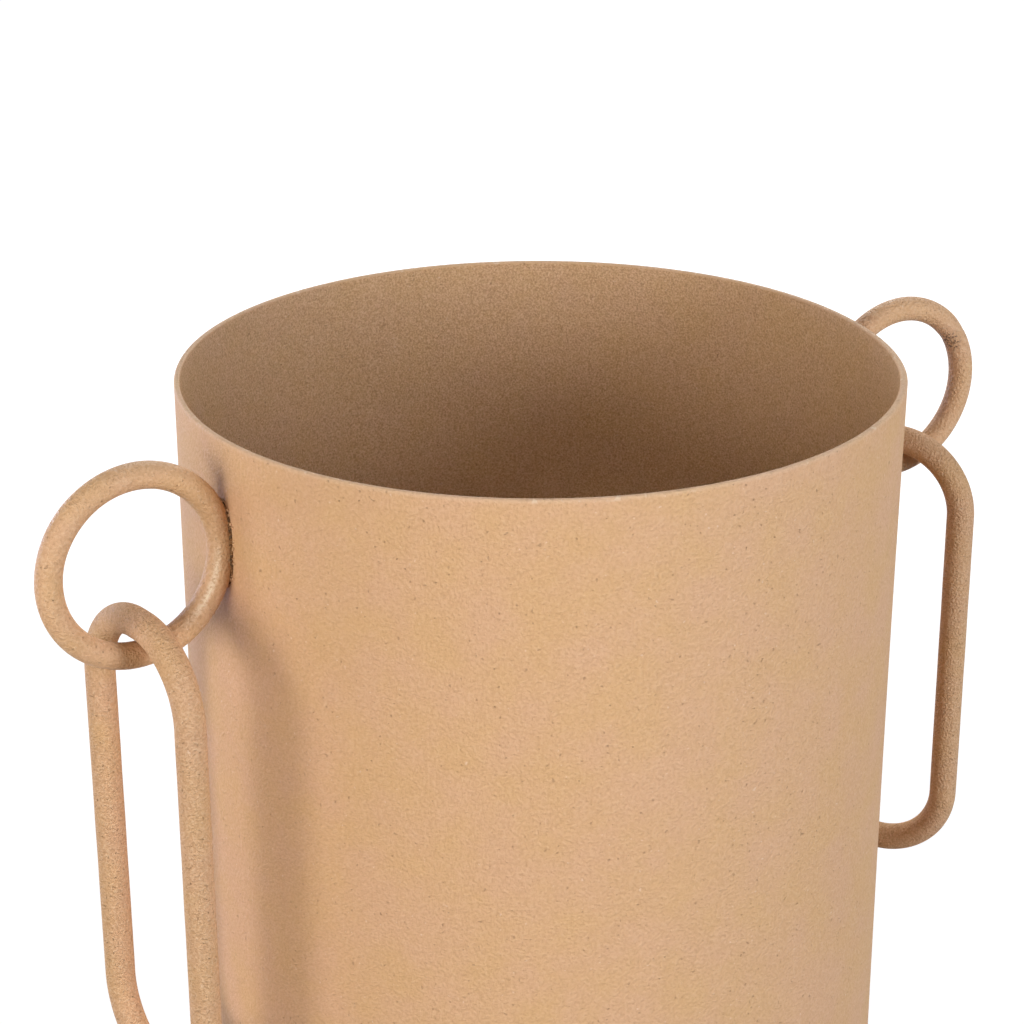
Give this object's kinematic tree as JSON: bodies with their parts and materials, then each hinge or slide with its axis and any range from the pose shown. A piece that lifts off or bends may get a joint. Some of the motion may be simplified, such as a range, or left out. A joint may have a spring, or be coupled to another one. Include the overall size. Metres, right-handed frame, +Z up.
{
  "type": "vase",
  "caption": "Straight round open-topped metal vase with a welded ring and a loose, long hanging link as the handle on each side, in a sand-coloured powder coat.",
  "frame": {"origin": "centre of the underside, on the surface that the vase stands on", "axes": "+Z up along the vessel's axis; the handles stand at -X and +X; -Y is the front, towards which both handles are swept by about two degrees"},
  "size_m": [0.2954, 0.192, 0.3],
  "materials": {
    "powder_coat": "matt fine-texture powder coat, sand to camel brown"
  },
  "bodies": {
    "vessel": {"body_shell": "powder_coat", "base_plate": "powder_coat", "base_weld": "powder_coat", "ring_left": "powder_coat", "ring_right": "powder_coat", "ring_weld_left": "powder_coat", "ring_weld_right": "powder_coat"},
    "link_left": {"link_left": "powder_coat"},
    "link_right": {"link_right": "powder_coat"}
  },
  "joints": [
    {"name": "link_swing_left", "type": "hinge", "parent": "vessel", "child": "link_left", "pos_m": [-0.12075, -0.00498, 0.2564], "axis": [-0.0927, 0.9957, 0], "range_deg": [-8.9, 180]},
    {"name": "link_swing_right", "type": "hinge", "parent": "vessel", "child": "link_right", "pos_m": [0.12075, -0.00498, 0.2564], "axis": [0.4568, -0.8896, 0], "range_deg": [-6, 180]}
  ]
}
